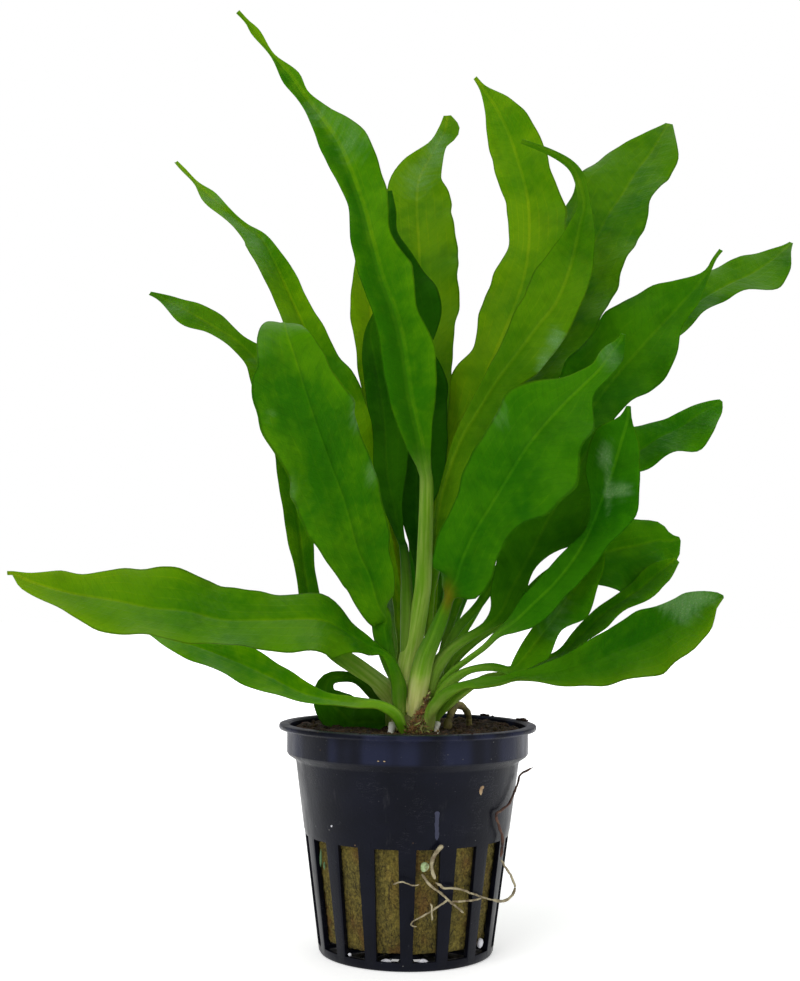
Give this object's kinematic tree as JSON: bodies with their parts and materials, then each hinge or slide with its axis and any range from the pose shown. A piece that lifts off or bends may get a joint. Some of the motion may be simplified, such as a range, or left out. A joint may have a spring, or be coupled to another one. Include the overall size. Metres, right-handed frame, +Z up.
{
  "type": "potted echinodorus",
  "caption": "Aquarium sword plant: a rosette of long wavy green leaves on a short pale crown, rooted in rock wool in a small black slotted net pot.",
  "frame": {"origin": "on the pot's axis, at the underside of its floor", "axes": "+Z up along the pot's axis, -Y towards the front of the plant, +X to its right as seen from the front"},
  "size_m": [0.1748, 0.1057, 0.2005],
  "materials": {
    "pot_plastic": "satin black moulded plastic",
    "rock_wool": "damp olive brown fibre wool",
    "crown_flesh": "fleshy cream green",
    "leaf_green": "glossy green leaf with paler veins",
    "leaf_light": "light yellow-green leaf",
    "leaf_dark": "dark green leaf",
    "root_pale": "matte cream root",
    "root_aged": "matte brown root",
    "bud_green": "pale green bud"
  },
  "bodies": {
    "root": {"pot": "pot_plastic", "rock_wool": "rock_wool", "crown": "crown_flesh", "leaf_tall_centre": "leaf_green", "leaf_inner_dark": "leaf_dark", "leaf_inner_left": "leaf_dark", "leaf_inner_back": "leaf_light", "leaf_top_back": "leaf_light", "leaf_tall_left": "leaf_green", "leaf_front_left": "leaf_green", "leaf_arching_left": "leaf_green", "leaf_long_left": "leaf_green", "leaf_low_left": "leaf_green", "leaf_drooping_left": "leaf_dark", "leaf_tall_right": "leaf_light", "leaf_bright_right": "leaf_light", "leaf_upper_right": "leaf_green", "leaf_far_right": "leaf_green", "leaf_pointed_right": "leaf_green", "leaf_front_right": "leaf_green", "leaf_curled_right": "leaf_green", "leaf_inner_right": "leaf_dark", "leaf_round_right": "leaf_green", "leaf_middle_right": "leaf_green", "leaf_short_right": "leaf_green", "leaf_edge_right": "leaf_dark", "leaf_bottom_right": "leaf_green", "leaf_back_upright": "leaf_green", "leaf_back_left": "leaf_green", "leaf_back_right": "leaf_green", "leaf_back_low_left": "leaf_dark", "leaf_back_low_right": "leaf_green", "old_stalk": "root_aged", "root_thick": "root_pale", "root_diagonal": "root_pale", "root_runner": "root_pale", "root_branch": "root_pale", "root_side": "root_pale", "root_fine": "root_pale", "root_short": "root_pale", "root_loop": "root_aged", "root_brown": "root_aged", "root_stub_left": "root_pale", "root_stub_right": "root_pale", "root_bud": "bud_green"}
  },
  "joints": []
}
